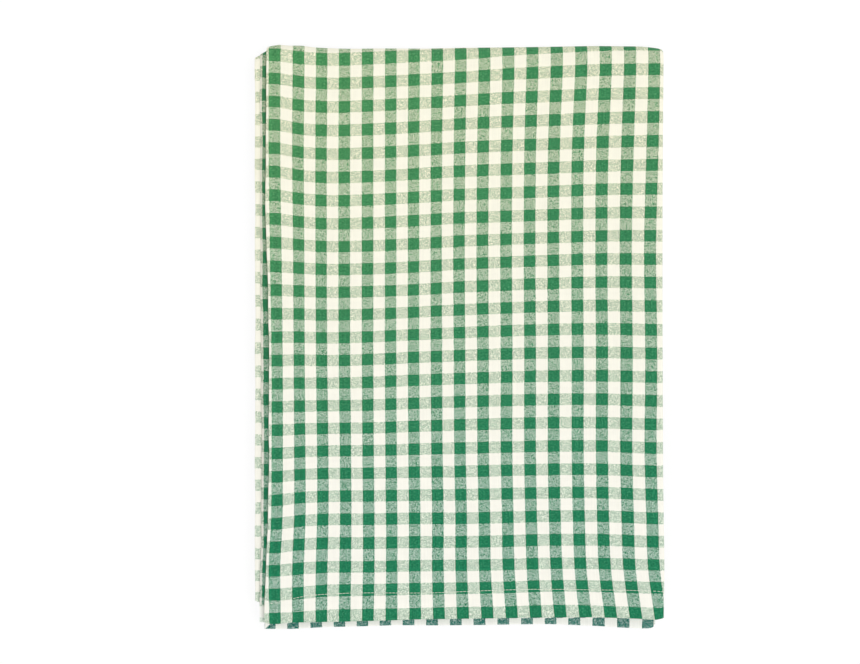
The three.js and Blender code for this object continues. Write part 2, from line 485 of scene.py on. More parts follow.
def sections(along):
    """The strip's cross-section at each row of the cloth."""
    def edge(name):
        return read_smooth(SIDE_WANDER, "share", name, along / CLOTH_LENGTH)

    front_hem = -HALF_WIDTH + edge("front_hem") + waver(along, "front_hem")
    back_hem = -HALF_WIDTH + BACK_HEM_INSET + edge("back_hem") + waver(along, "back_hem")
    side_line = -HALF_WIDTH + SIDE_FOLD_INSET + OUTER_OF_SIDE_FOLD
    side_fold = side_line + edge("side_fold") + waver(along, "side_fold")
    outer_fold = HALF_WIDTH - OUTER_OF_STRIP + edge("right_fold")
    inner_fold = outer_fold - INNER_FOLD_INSET + waver(along, "inner_fold")
    ends = [
        (front_hem, outer_fold),
        (outer_fold, side_fold),
        (side_fold, inner_fold),
        (inner_fold, back_hem),
    ]
    return fold_line(ACROSS, STRIP_LEVELS, ends)


def edge_distances(across, along, top_line=0.0, other_lines=0.0):
    """How far each point lies inside the nearest edge of the cloth, or inside
    lines that run this far from the top end and from the other edges."""
    return np.minimum.reduce([
        across - other_lines,
        across[:, -1:] - across - other_lines,
        along - top_line + 0 * across,
        CLOTH_LENGTH - along - other_lines + 0 * across,
    ])


def panel_loft(across, along):
    """The soft unevenness of the panel on top, in three kinds of wave."""
    broad = np.sin(across / 26 + 0.7) * np.sin(along / 33 + 0.4)
    slanting = np.sin(across / 19 - along / 41 + 2.1)
    small = np.sin(across / 7.3 + 1.1) * np.sin(along / 9.1 + 0.3)
    return sum(height * wave for height, wave in zip(LOFT_HEIGHTS, (broad, slanting, small)))


def settle(x, y, z):
    """Bows the far folds and raises the swells, all layers together."""
    farness = soft_step(BOW_STARTS, HALF_LENGTH, y)
    y = y + farness * read_smooth(FAR_BOW, "x", "bow", x)
    rise = 0 * x
    for swell_x, swell_y, reach, height in SWELLS:
        away = np.hypot(x - swell_x, y - swell_y) / reach
        rise = rise + height * np.exp(-SWELL_SHARPNESS * away * away)
    return x, y, z * (1 + rise / STACK_HEIGHT)


TOP_PANEL = [n for n, (run, kind, _) in enumerate(ACROSS) if run == 1 and kind != "turn"]
TOP_STRIP = [n for n, (run, kind, _) in enumerate(ALONG) if run == 0 and kind != "turn"]


def folded_sheet():
    """The two faces of the folded cloth, as grids of points, and the cloth's
    own places at those points."""
    way, level, way_lean, way_up, along = [part[:, None] for part in way_of_strip()]
    place, height, lean, up, across = sections(along[:, 0])

    beside = sum(soft_step(inner, outer, across) for inner, outer in WIDENS)
    reach = DRAW_REACH + WIDER_REACH * beside
    draw = 0 * across
    for name, from_end in (("top_hem", along), ("lower_hem", CLOTH_LENGTH - along)):
        nearness = np.clip(1 - from_end / reach, 0, 1)
        draw = draw + nearness * read_straight(END_DRAW, "across", name, across)

    # The hem on the back side sinks on to the layer that it lies over, but
    # stands off it along the lower half of the top strip.
    from_back = across[:, -1:] - across
    droop = HEM_DROOP - HEM_LIFT * (1 - soft_step(*HEM_LIFT_ENDS, along))
    height = height - droop * (1 - soft_step(0, HEM_LEAN, from_back))

    strayed = read_smooth(TOP_STITCHING, "across", "distance", across)
    inside = edge_distances(across, along, strayed, STITCHING)
    rim = np.sqrt(soft_step(*RIM_ROUND, edge_distances(across, along)))
    pinch = STITCH_PINCH * np.exp(-np.square(inside / PINCH_REACH))
    bulk = HEM_BULK * (1 - soft_step(HEM_BEYOND - HEM_STEP[0], HEM_BEYOND + HEM_STEP[1], inside))

    # Only the panel on top has room to loft, and it stays down at its folds.
    first, last = TOP_PANEL[0], TOP_PANEL[-1]
    from_folds = np.minimum(across - across[:, first:first + 1], across[:, last:last + 1] - across)
    to_far_fold = along[TOP_STRIP[-1]] - along
    free = soft_step(0, LOFT_FROM_SIDES, from_folds) * soft_step(0, LOFT_FROM_FAR_FOLD, to_far_fold)
    loft = -free * panel_loft(across, along)

    faces = []
    for side, extra in ((1, bulk - pinch), (-1, -pinch)):
        out = side * (SHEET / 2 + extra) * rim + loft
        rise = height + out * up
        x = place + out * lean
        y = way + draw + rise * way_lean
        z = level + rise * way_up
        faces.append(np.stack(settle(x, y, z), axis=-1))
    wrong, right = faces
    return wrong, right, across, along


def set_down(faces):
    """Puts the folded sheet in its place on the ground."""
    lowest = min(face[..., 2].min() for face in faces)
    return [face + np.array([*PLACE, -lowest]) for face in faces]


def weave_places(middle, across, along):
    """The cloth's places as the weave has them: pulled out of square on the
    top panel, along the side hems beside it, and at the lower end hem."""
    x, y = middle[..., 0], middle[..., 1]
    whole = across[:, -1:]
    last_row = TOP_STRIP[-1]
    fade = 1 - soft_step(0, SLIP_FADES, along[last_row + 1:] - along[last_row])

    def fading(slip):
        """Past the top strip the slip is that of its last row, and fades."""
        slip[last_row + 1:] = slip[last_row] * fade
        return slip

    panel_across = fading(TOP_PANEL_STRIPES - x + read_pull(PULL_RIGHT, x, y) - across)
    checks = y + TOP_HEM_CHECKS - along
    panel_along = fading(checks - read_pull(PULL_UP, x, y))
    front_along = fading(checks - read_smooth(HEM_PULL, "y", "front_hem", y))
    back_along = fading(checks - read_smooth(HEM_PULL, "y", "back_hem", y))

    at_end = soft_step(CLOTH_LENGTH - SLIP_FADES, CLOTH_LENGTH - END_SLIP_WHOLE, along)
    end_slip = TOP_PANEL_STRIPES - x + read_smooth(END_PULL, "x", "right", x) - across
    panel_across = panel_across + at_end * end_slip
    front_along = front_along + at_end * FRONT_END_SLIP

    # Beside the top panel its slip goes over to that of the side hem.
    front = np.interp(along, [0, CLOTH_LENGTH], FRONT_STRIPES) + 0 * across
    back = BACK_STRIPES - whole + 0 * across
    first, last = TOP_PANEL[0], TOP_PANEL[-1]
    before = np.clip(across / across[:, first:first + 1], 0, 1)
    after = np.clip((whole - across) / (whole - across[:, last:last + 1]), 0, 1)
    slips = []
    for slip, at_front, at_back in (
        (panel_across, front, back),
        (panel_along, front_along, back_along),
    ):
        slip[:, :first] = (at_front + before * (slip[:, first:first + 1] - at_front))[:, :first]
        slip[:, last + 1:] = (at_back + after * (slip[:, last:last + 1] - at_back))[:, last + 1:]
        slips.append(slip)
    return across + slips[0], along + slips[1]


def cloth_mesh(wrong, right, weave):
    """One closed sheet from its two faces, with the weave's places as its map."""
    rows, columns = wrong.shape[:2]
    count = rows * columns
    number = np.arange(count).reshape(rows, columns)

    # A face's corners go round so that the wrong side looks along its normal.
    a, b = number[:-1, :-1], number[:-1, 1:]
    c, d = number[1:, 1:], number[1:, :-1]
    wrong_side = np.stack([a, b, c, d], axis=-1).reshape(-1, 4)
    right_side = wrong_side[:, ::-1] + count
    border = np.concatenate([
        number[0, :-1], number[:-1, -1], number[-1, :0:-1], number[:0:-1, 0],
    ])
    following = np.roll(border, -1)
    rim = np.stack([following, border, border + count, following + count], axis=-1)
    quads = np.concatenate([wrong_side, right_side, rim])

    points = np.concatenate([wrong.reshape(-1, 3), right.reshape(-1, 3)]) * MM
    mesh = bpy.data.meshes.new("gingham_cloth")
    mesh.vertices.add(len(points))
    mesh.vertices.foreach_set("co", points.ravel())
    mesh.loops.add(quads.size)
    mesh.loops.foreach_set("vertex_index", quads.ravel())
    mesh.polygons.add(len(quads))
    mesh.polygons.foreach_set("loop_start", np.arange(0, quads.size, 4))
    mesh.update(calc_edges=True)
    mesh.polygons.foreach_set("use_smooth", np.ones(len(quads), bool))

    places = np.stack([part.ravel() for part in weave], axis=-1) * MM
    places = np.concatenate([places, places])
    layer = mesh.uv_layers.new(name="weave")
    layer.uv.foreach_set("vector", places[quads.ravel()].astype(np.float32).ravel())
    mesh.validate()
    return mesh


# ------------------------------------------------------------ making of nodes

def feed(tree, socket, value):
    """Sets a socket, or links it where the value is another socket."""
    if isinstance(value, bpy.types.NodeSocket):
        tree.links.new(value, socket)
    else:
        socket.default_value = value


def new_input(tree, name, kind, value):
    """A named input on a node tree, with its usual value."""
    socket = tree.interface.new_socket(name=name, in_out="INPUT", socket_type=kind)
    if value is not None:
        socket.default_value = value
    return socket


class Bench:
    """Places nodes in one tree, and gives their outputs."""

    def __init__(self, tree):
        self.tree = tree

    def node(self, kind, inputs=None, **settings):
        made = self.tree.nodes.new(kind)
        for name, value in settings.items():
            setattr(made, name, value)
        for name, value in (inputs or {}).items():
            feed(self.tree, made.inputs[name], value)
        return made

    def math(self, operation, *values, clamp=False):
        inputs = dict(enumerate(values))
        return self.node("ShaderNodeMath", inputs, operation=operation, use_clamp=clamp).outputs[0]

    def vector(self, x, y, z=0.0):
        return self.node("ShaderNodeCombineXYZ", {"X": x, "Y": y, "Z": z}).outputs[0]

    def ramp(self, value, low, high, to_low=0.0, to_high=1.0):
        inputs = {0: value, 1: low, 2: high, 3: to_low, 4: to_high}
        made = self.node("ShaderNodeMapRange", inputs, interpolation_type="SMOOTHSTEP")
        return made.outputs[0]

    def noise(self, place, scale, detail=2.0, rough=0.5):
        inputs = {"Vector": place, "Scale": scale, "Detail": detail, "Roughness": rough}
        return self.node("ShaderNodeTexNoise", inputs, noise_dimensions="3D").outputs["Fac"]

    def number_mix(self, share, first, second):
        return self.node("ShaderNodeMix", {0: share, 2: first, 3: second}).outputs[0]

    def colour_mix(self, share, first, second, blend="MIX"):
        inputs = {0: share, 6: first, 7: second}
        made = self.node("ShaderNodeMix", inputs, data_type="RGBA", blend_type=blend)
        return made.outputs[2]

    def toned(self, colour, tone):
        """A colour made lighter or darker by a number about 1."""
        parts = self.vector(tone, tone, tone)
        return self.colour_mix(1.0, colour, parts, blend="MULTIPLY")


def shader_group(name, inputs, outputs):
    """An empty shader group with these inputs and outputs."""
    tree = bpy.data.node_groups.new(name, "ShaderNodeTree")
    for socket_name, kind, value in inputs:
        new_input(tree, socket_name, kind, value)
    for socket_name, kind in outputs:
        tree.interface.new_socket(name=socket_name, in_out="OUTPUT", socket_type=kind)
    given = tree.nodes.new("NodeGroupInput").outputs
    result = tree.nodes.new("NodeGroupOutput").inputs
    return Bench(tree), given, result


def fresh_bench(owner):
    """An empty bench on the node tree of a material or a world."""
    owner.use_nodes = True
    owner.node_tree.nodes.clear()
    return Bench(owner.node_tree)


def show(bench, shader, kind="ShaderNodeOutputMaterial"):
    """Takes a shader to the surface of a material or a world."""
    output = bench.node(kind)
    feed(bench.tree, output.inputs["Surface"], shader.outputs[0])


FLOAT, VECTOR, COLOUR = "NodeSocketFloat", "NodeSocketVector", "NodeSocketColor"
MATERIAL, GEOMETRY = "NodeSocketMaterial", "NodeSocketGeometry"
WHITE = (1.0, 1.0, 1.0, 1.0)


# ------------------------------------------------------------- hem stitching

STITCH_PITCH = 3.1
STITCH_LENGTH = 2.5
THREAD = 0.42
THREAD_DIP = -0.6      # a stitch's ends lie this many thread radii up
THREAD_ARCH = 1.5      # and the middle of its bow this many


def stitch_rows(across, along):
    """The four rows of stitches, as places across and along the cloth."""
    whole = float(np.mean(across[:, -1]))
    width_steps = np.arange(STITCHING, whole - STITCHING, STITCH_PITCH)
    length_steps = np.arange(STITCHING, CLOTH_LENGTH - STITCHING, STITCH_PITCH)
    strayed = read_smooth(TOP_STITCHING, "across", "distance", width_steps)
    ones_across, ones_along = np.ones_like(width_steps), np.ones_like(length_steps)
    return [
        np.stack([width_steps, strayed]),
        np.stack([width_steps, (CLOTH_LENGTH - STITCHING) * ones_across]),
        np.stack([STITCHING * ones_along, length_steps]),
        np.stack([(whole - STITCHING) * ones_along, length_steps]),
    ]


def read_grid(face, columns, rows):
    """Points of a face between its stations, from fractions of their numbers."""
    column = np.clip(columns.astype(int), 0, face.shape[1] - 2)
    row = np.clip(rows.astype(int), 0, face.shape[0] - 2)
    s, t = (columns - column)[:, None], (rows - row)[:, None]
    near = face[row, column] * (1 - s) + face[row, column + 1] * s
    far = face[row + 1, column] * (1 - s) + face[row + 1, column + 1] * s
    return near * (1 - t) + far * t


def stitch_places(wrong, right, across, along):
    """Where each stitch lies on the two faces, its run and its outward way."""
    mean_across = across.mean(axis=0)
    columns_of, rows_of = np.arange(across.shape[1]), np.arange(across.shape[0])

    def grid_place(face, place):
        columns = np.interp(place[0], mean_across, columns_of)
        rows = np.interp(place[1], along[:, 0], rows_of)
        return read_grid(face, columns, rows)

    points, runs, outs = [], [], []
    for place in stitch_rows(across, along):
        step = np.gradient(place, axis=1)
        step = step / np.hypot(*step) * STITCH_LENGTH / 2
        for face, other in ((wrong, right), (right, wrong)):
            points.append(grid_place(face, place))
            runs.append(grid_place(face, place + step) - grid_place(face, place - step))
            outs.append(grid_place(face, place) - grid_place(other, place))
    return [np.concatenate(part) for part in (points, runs, outs)]


def stitching_tree():
    """Lays one short arched thread at each point of a mesh of stitch places."""
    tree = bpy.data.node_groups.new("hem stitching", "GeometryNodeTree")
    new_input(tree, "Places", GEOMETRY, None)
    new_input(tree, "Stitch Length", FLOAT, STITCH_LENGTH * MM)
    new_input(tree, "Thread Radius", FLOAT, THREAD / 2 * MM)
    new_input(tree, "Thread", MATERIAL, None)
    tree.interface.new_socket(name="Stitches", in_out="OUTPUT", socket_type=GEOMETRY)
    given = tree.nodes.new("NodeGroupInput").outputs
    result = tree.nodes.new("NodeGroupOutput").inputs
    bench = Bench(tree)
    node = bench.node

    half = bench.math("MULTIPLY", given["Stitch Length"], 0.5)
    radius = given["Thread Radius"]
    dip = bench.math("MULTIPLY", radius, THREAD_DIP)
    arch = node("GeometryNodeCurveQuadraticBezier", {
        "Resolution": 4,
        "Start": bench.vector(bench.math("MULTIPLY", half, -1.0), 0.0, dip),
        "Middle": bench.vector(0.0, 0.0, bench.math("MULTIPLY", radius, THREAD_ARCH)),
        "End": bench.vector(half, 0.0, dip),
    })
    round_thread = node("GeometryNodeCurvePrimitiveCircle", {"Resolution": 4, "Radius": radius})
    thread = node("GeometryNodeCurveToMesh", {
        "Curve": arch.outputs[0],
        "Profile Curve": round_thread.outputs[0],
        "Fill Caps": True,
    })
    smooth = node("GeometryNodeSetShadeSmooth", {"Geometry": thread.outputs[0]})

    outward = node("GeometryNodeInputNamedAttribute", {"Name": "outward"}, data_type="FLOAT_VECTOR")
    run = node("GeometryNodeInputNamedAttribute", {"Name": "run"}, data_type="FLOAT_VECTOR")
    upright = node("FunctionNodeAlignRotationToVector", {
        "Vector": outward.outputs[0],
    }, axis="Z")
    turned = node("FunctionNodeAlignRotationToVector", {
        "Rotation": upright.outputs[0],
        "Vector": run.outputs[0],
    }, axis="X", pivot_axis="Z")
    points = node("GeometryNodeMeshToPoints", {"Mesh": given["Places"]})
    laid = node("GeometryNodeInstanceOnPoints", {
        "Points": points.outputs[0],
        "Instance": smooth.outputs[0],
        "Rotation": turned.outputs[0],
    })
    real = node("GeometryNodeRealizeInstances", {"Geometry": laid.outputs[0]})
    finished = node("GeometryNodeSetMaterial", {
        "Geometry": real.outputs[0],
        "Material": given["Thread"],
    })
    feed(tree, result[0], finished.outputs[0])
    return tree


def sew_hems(wrong, right, across, along, thread):
    """All the stitches of the four hems, as one plain mesh."""
    points, runs, outs = stitch_places(wrong, right, across, along)
    places = bpy.data.meshes.new("stitch_places")
    places.from_pydata((points * MM).tolist(), [], [])
    for name, vectors in (("run", runs), ("outward", outs)):
        attribute = places.attributes.new(name, "FLOAT_VECTOR", "POINT")
        attribute.data.foreach_set("vector", vectors.astype(np.float32).ravel())
    guide = placed("stitch_places", places)

    tree = stitching_tree()
    sewing = guide.modifiers.new("hem stitching", "NODES")
    sewing.node_group = tree
    for socket in tree.interface.items_tree:
        if socket.in_out == "INPUT" and socket.name == "Thread":
            sewing[socket.identifier] = thread
    bpy.context.view_layer.update()
    seen = guide.evaluated_get(bpy.context.evaluated_depsgraph_get())
    mesh = bpy.data.meshes.new_from_object(seen)
    mesh.name = "hem_stitches"
    bpy.data.objects.remove(guide)
    return placed("hem_stitches", mesh)


# ------------------------------------------------------------ shared effects

# The unevenness of the weave. Places are counted in yarns.
YARN_WAVER = 2.2            # how far a yarn strays, from side to side
WAVER_RUN = 0.40            # how quickly it does along its run
WAVER_BESIDE = 0.14         # and how quickly that changes from yarn to yarn
BLOTCH_SPREAD = 0.30        # blotches in the green dye
BLOTCH_TONES = (1.3, 0.35)  # their strength and their darkest tone
FLECK_RANGE = (0.45, 0.75)
SLUB_RUN = 0.07             # thick and thin places along a yarn
GREEN_UNEVEN = 0.40         # how much the yarns differ in tone
CREAM_UNEVEN = 0.06
LOOSE_CROSSINGS = 0.35      # what changes how wide the weft shows: chance,
SLUBS_SHOW = 0.5            # slubs, and a mottling of these spreads
MOTTLE_SPREAD = (0.30, 0.24)
YARN_EDGE = 0.05
CROWN_ROUND = 3.2           # a yarn's height: its round, its dip where it
CROWN_DIP = 1.6             # goes under, and how high the weft stands
WEFT_STANDS = 0.9
# painted shade: a yarn's colour is darker where it lies lower
HOLLOW_SHADE_TONES = (0.10, 0.93)


def cotton_fibre_group():
    """The fuzz of spun cotton: soft mottling, and fibres that catch light."""
    bench, given, result = shader_group(
        "cotton fibre",
        [("Place", VECTOR, None), ("Fibre Size", FLOAT, 0.0003), ("Mottling", FLOAT, 0.06)],
        [("Tone", FLOAT), ("Fuzz", FLOAT)],
    )
    fine = bench.math("DIVIDE", 1.0, given["Fibre Size"])
    fibres = bench.noise(given["Place"], fine, detail=3.0, rough=0.65)
    patches = bench.noise(given["Place"], bench.math("MULTIPLY", fine, 0.04), detail=3.0)
    spread = bench.math("MULTIPLY", bench.math("SUBTRACT", patches, 0.5), given["Mottling"])
    feed(bench.tree, result["Tone"], bench.math("ADD", 1.0, spread))
    feed(bench.tree, result["Fuzz"], fibres)
    return bench.tree


def gingham_weave_group():
    """Plain weave of green and cream yarns in even stripes both ways."""
    bench, given, result = shader_group(
        "gingham weave",
        [
            ("Cloth Place", VECTOR, None),
            ("Warp Pitch", FLOAT, 0.00045),
            ("Weft Pitch", FLOAT, 0.00045),
            ("Stripe Yarns", FLOAT, float(STRIPE_YARNS)),
            ("Green", COLOUR, None),
            ("Cream", COLOUR, None),
            ("Tint Over Weft", COLOUR, None),
            ("Tint Over Warp", COLOUR, None),
            ("Weft Cover", FLOAT, 0.34),
            ("Heather", FLOAT, 1.3),
            ("Flecks", FLOAT, 0.04),
        ],
        [("Color", COLOUR), ("Yarn Height", FLOAT)],
    )
    math_node, tree = bench.math, bench.tree
    parts = bench.node("ShaderNodeSeparateXYZ", {0: given["Cloth Place"]}).outputs

    def stretched(x, x_share, y, y_share, turn=0.0):
        """A place for noise, with a share of each distance."""
        return bench.vector(math_node("MULTIPLY", x, x_share), math_node("MULTIPLY", y, y_share), turn)

    def chance(kind, name, value):
        """A number from 0 to 1 that is the same for the same value."""
        return bench.node("ShaderNodeTexWhiteNoise", {name: value}, noise_dimensions=kind).outputs[0]

    # Places counted in yarns. Each yarn wavers along its own run.
    across = math_node("DIVIDE", parts["X"], given["Warp Pitch"])
    along = math_node("DIVIDE", parts["Y"], given["Weft Pitch"])

    def waver_of(run, beside, turn):
        place = stretched(run, WAVER_RUN, beside, WAVER_BESIDE, turn)
        return math_node("MULTIPLY_ADD", bench.noise(place, 1.0, detail=1.0), YARN_WAVER, -YARN_WAVER / 2)

    warp_waver = waver_of(along, across, 3.1)
    weft_waver = waver_of(across, along, 8.7)
    across, along = math_node("ADD", across, warp_waver), math_node("ADD", along, weft_waver)
    warp, weft = math_node("FLOOR", across), math_node("FLOOR", along)
    in_warp = math_node("ABSOLUTE", math_node("SUBTRACT", math_node("FRACT", across), 0.5))
    in_weft = math_node("ABSOLUTE", math_node("SUBTRACT", math_node("FRACT", along), 0.5))

    def is_green(yarn):
        repeat = math_node("MULTIPLY", given["Stripe Yarns"], 2.0)
        place = math_node("FLOORED_MODULO", yarn, repeat)
        return math_node("LESS_THAN", place, math_node("SUBTRACT", given["Stripe Yarns"], 0.5))

    # A cream yarn among green ones takes on a little of their colour.
    green_warp, green_weft = is_green(warp), is_green(weft)
    over_weft = bench.colour_mix(green_weft, WHITE, given["Tint Over Weft"])
    over_warp = bench.colour_mix(green_warp, WHITE, given["Tint Over Warp"])
    tint = bench.colour_mix(1.0, over_weft, over_warp, blend="MULTIPLY")
    cream_here = bench.colour_mix(1.0, given["Cream"], tint, blend="MULTIPLY")

    # Flecks of undyed fibre in the green cotton.
    blotch_place = stretched(across, BLOTCH_SPREAD, along, BLOTCH_SPREAD)
    blotch = bench.noise(blotch_place, 1.0, detail=2.0, rough=0.6)
    fleck = bench.ramp(blotch, *FLECK_RANGE, 0.0, given["Flecks"])
    flecked = bench.colour_mix(fleck, given["Green"], cream_here)
    flecked = bench.toned(flecked, math_node("MULTIPLY_ADD", blotch, *BLOTCH_TONES))

    def yarn_colour(yarn, green_yarn, run, turn):
        """A yarn's own shade, thicker and thinner along its run."""
        seed = math_node("ADD", yarn, turn)
        slub = bench.noise(stretched(seed, 7.31, run, SLUB_RUN), 1.0, detail=2.0)
        uneven = math_node("SUBTRACT", math_node("ADD", chance("1D", "W", seed), slub), 1.0)
        green = bench.toned(flecked, math_node("MULTIPLY_ADD", uneven, GREEN_UNEVEN, 1.0))
        cream = bench.toned(cream_here, math_node("MULTIPLY_ADD", uneven, CREAM_UNEVEN, 1.0))
        return bench.colour_mix(green_yarn, cream, green), slub

    warp_colour, warp_slub = yarn_colour(warp, green_warp, along, 0.37)
    weft_colour, weft_slub = yarn_colour(weft, green_weft, across, 5.61)

    # Every other crossing has the weft on top, as wide as its cover.
    weft_over = math_node("FLOORED_MODULO", math_node("ADD", warp, weft), 2.0)
    mottle_place = stretched(across, MOTTLE_SPREAD[0], along, MOTTLE_SPREAD[1])
    mottle = bench.noise(mottle_place, 1.0, detail=2.0, rough=0.6)
    loose = math_node("SUBTRACT", chance("2D", "Vector", bench.vector(warp, weft)), 0.5)
    slubs = math_node("MULTIPLY", math_node("SUBTRACT", weft_slub, warp_slub), SLUBS_SHOW)
    spread = math_node("MULTIPLY_ADD", loose, LOOSE_CROSSINGS, slubs)
    spread = math_node("ADD", math_node("SUBTRACT", mottle, 0.5), spread)
    cover = math_node("MULTIPLY_ADD", spread, given["Heather"], given["Weft Cover"])
    outside, inside = math_node("ADD", cover, YARN_EDGE), math_node("SUBTRACT", cover, YARN_EDGE)
    weft_shows = math_node("MULTIPLY", weft_over, bench.ramp(in_warp, outside, inside))

    def crown(across_yarn, along_yarn):
        """The round of a yarn, which dips where it goes under."""
        round_part = math_node("MULTIPLY", math_node("POWER", across_yarn, 2.0), CROWN_ROUND)
        dip = math_node("MULTIPLY", math_node("POWER", along_yarn, 2.0), CROWN_DIP)
        return math_node("SUBTRACT", math_node("SUBTRACT", 1.0, round_part), dip, clamp=True)

    warp_height = crown(in_warp, in_weft)
    weft_height = math_node("MULTIPLY", crown(in_weft, in_warp), WEFT_STANDS)
    height = bench.number_mix(weft_over, warp_height, weft_height)
    colour = bench.colour_mix(weft_shows, warp_colour, weft_colour)
    # Painted shade: the colour is darker where the yarns lie low, between them.
    hollow_shade = math_node("MULTIPLY_ADD", height, *HOLLOW_SHADE_TONES)
    feed(tree, result["Color"], bench.toned(colour, hollow_shade))
    feed(tree, result["Yarn Height"], height)
    return tree


# ---------------------------------------------------------------- materials

DEEP_GREEN = (0.009, 0.194, 0.086, 1.0)
# painted light: the green towards the far fold
PAINTED_LIGHT_GREEN = (0.058, 0.265, 0.089, 1.0)
# painted shade: the deeper, bluer green of the lower end hem
END_SHADE_GREEN = (0.014, 0.165, 0.125, 1.0)
COOL_CREAM = (0.955, 0.940, 0.850, 1.0)
# painted light: the cream towards the far fold
WARM_CREAM = (0.965, 0.940, 0.780, 1.0)
# painted light: the lighter, bluer cream of the lower end hem, set against its shade
END_LIGHT_CREAM = (0.990, 0.990, 0.930, 1.0)
DEEP_WEFT_TINT = (0.86, 0.94, 0.88, 1.0)
DEEP_WARP_TINT = (0.84, 0.965, 0.965, 1.0)
# painted light: the tint towards the far fold
PAINTED_LIGHT_TINT = (1.03, 1.01, 0.93, 1.0)
THREAD_CREAM = (0.90, 0.89, 0.78, 1.0)

# Where the cloth's colour is painted lighter or darker for light and shade, in metres on the flat cloth.
FAR_FOLD_AT = 0.49          # the painted light is most at the far fold, and at the
SIDE_FOLD_AT = 0.705        # side fold beside it
LIGHT_REACH = 0.45
SIDE_LIGHT_REACH = 0.30
LIGHT_AWAY = 0.62            # the painted light's share away from the side fold
# painted shade and light on the lower end hem, within these
END_SHADE_REACH = (0.014, 0.009)     # from the lower end hem's edge
# painted light on the front side hem's edge, within these
FRONT_EDGE_LIGHT = (0.006, 0.0)         # from the front side hem's edge
# painted shade on the back side hem's edge, within these
BACK_SHADE_REACH = (0.012, 0.004)       # from the back side hem's edge
# painted shade: how dark the back side hem's edge is
BACK_SHADE_TONE = 0.78

# How much of a crossing the weft covers, and how that changes.
WEFT_COVER = 0.34
# painted light: the weft cover towards the far fold
PAINTED_LIGHT_COVER = 0.055
# painted shade: less weft cover at the lower end hem, so its greens show more
END_SHADE_COVER = -0.24
# painted light: less weft cover at the front side hem's edge, so it is paler
FRONT_EDGE_LIGHT_COVER = -0.30

FIBRE = cotton_fibre_group()
WEAVE = gingham_weave_group()


def gingham_material():
    """Woven cotton gingham, painted lighter and warmer towards the crosswise fold, with painted light and
    shade at its hems.
    """
    material = bpy.data.materials.new("gingham")
    bench = fresh_bench(material)
    cloth = bench.node("ShaderNodeUVMap", uv_map="weave").outputs["UV"]
    parts = bench.node("ShaderNodeSeparateXYZ", {0: cloth}).outputs

    # Painted light: the cloth is lighter and warmer towards the fold at the far end, most at the side
    # fold.
    from_fold = bench.math("ABSOLUTE", bench.math("SUBTRACT", parts["Y"], FAR_FOLD_AT))
    at_fold = bench.ramp(from_fold, LIGHT_REACH, 0.0)
    from_side = bench.math("ABSOLUTE", bench.math("SUBTRACT", parts["X"], SIDE_FOLD_AT))
    at_side = bench.ramp(from_side, SIDE_LIGHT_REACH, 0.0, LIGHT_AWAY, 1.0)
    painted_light = bench.math("MULTIPLY", at_fold, at_side)
    green = bench.colour_mix(painted_light, DEEP_GREEN, PAINTED_LIGHT_GREEN)
    cream = bench.colour_mix(at_fold, COOL_CREAM, WARM_CREAM)
    cover = bench.math("MULTIPLY_ADD", at_fold, PAINTED_LIGHT_COVER, WEFT_COVER)

    # Painted shade on the lower end hem: less weft shows, so its greens are deeper, and they are bluer,
    # while its cream is painted lighter and bluer against that shade. The edge of the front side hem is
    # painted paler, as painted light where its rim turns down into shade.
    to_end = bench.math("SUBTRACT", CLOTH_LENGTH * MM, parts["Y"])
    end_shade_and_light = bench.ramp(to_end, *END_SHADE_REACH)
    green = bench.colour_mix(end_shade_and_light, green, END_SHADE_GREEN)
    cream = bench.colour_mix(end_shade_and_light, cream, END_LIGHT_CREAM)
    cover = bench.math("MULTIPLY_ADD", end_shade_and_light, END_SHADE_COVER, cover)
    cover = bench.math("MULTIPLY_ADD", bench.ramp(parts["X"], *FRONT_EDGE_LIGHT), FRONT_EDGE_LIGHT_COVER, cover)

    stripe_start = (FIRST_STRIPE * MM, 0.0, 0.0)
    shifted = bench.node("ShaderNodeVectorMath", {0: cloth, 1: stripe_start}, operation="SUBTRACT")
    weave = bench.node("ShaderNodeGroup", {
        "Cloth Place": shifted.outputs[0],
        "Warp Pitch": REPEAT_ACROSS * MM / 2 / STRIPE_YARNS,
        "Weft Pitch": REPEAT_ALONG * MM / 2 / STRIPE_YARNS,
        "Stripe Yarns": float(STRIPE_YARNS),
        "Green": green,
        "Cream": cream,
        "Tint Over Weft": bench.colour_mix(at_fold, DEEP_WEFT_TINT, PAINTED_LIGHT_TINT),
        "Tint Over Warp": bench.colour_mix(at_fold, DEEP_WARP_TINT, PAINTED_LIGHT_TINT),
        "Weft Cover": cover,
        "Heather": 1.3,
        "Flecks": 0.04,
    }, node_tree=WEAVE).outputs
    fibre = bench.node("ShaderNodeGroup", {
        "Place": bench.node("ShaderNodeTexCoord").outputs["Object"],
        "Fibre Size": 0.0004,
        "Mottling": 0.08,
    }, node_tree=FIBRE).outputs

    # Painted shade: the colour is darker along the edge of the back side hem, where it lies in the groove
    # below the layers above it.
    to_back = bench.math("SUBTRACT", CLOTH_WIDTH * MM, parts["X"])
    tone = bench.math("MULTIPLY", fibre["Tone"], bench.ramp(to_back, *BACK_SHADE_REACH, 1.0, BACK_SHADE_TONE))
    relief = bench.math("MULTIPLY_ADD", fibre["Fuzz"], 0.25, weave["Yarn Height"])
    bump = bench.node("ShaderNodeBump", {"Strength": 0.55, "Distance": 0.00012, "Height": relief})
    show(bench, bench.node("ShaderNodeBsdfPrincipled", {
        "Base Color": bench.toned(weave["Color"], tone),
        "Roughness": bench.math("MULTIPLY_ADD", fibre["Fuzz"], 0.12, 0.82),
        "Normal": bump.outputs[0],
        "Specular IOR Level": 0.15,
        "Sheen Weight": 0.06,
        "Sheen Roughness": 0.6,
    }))
    return material


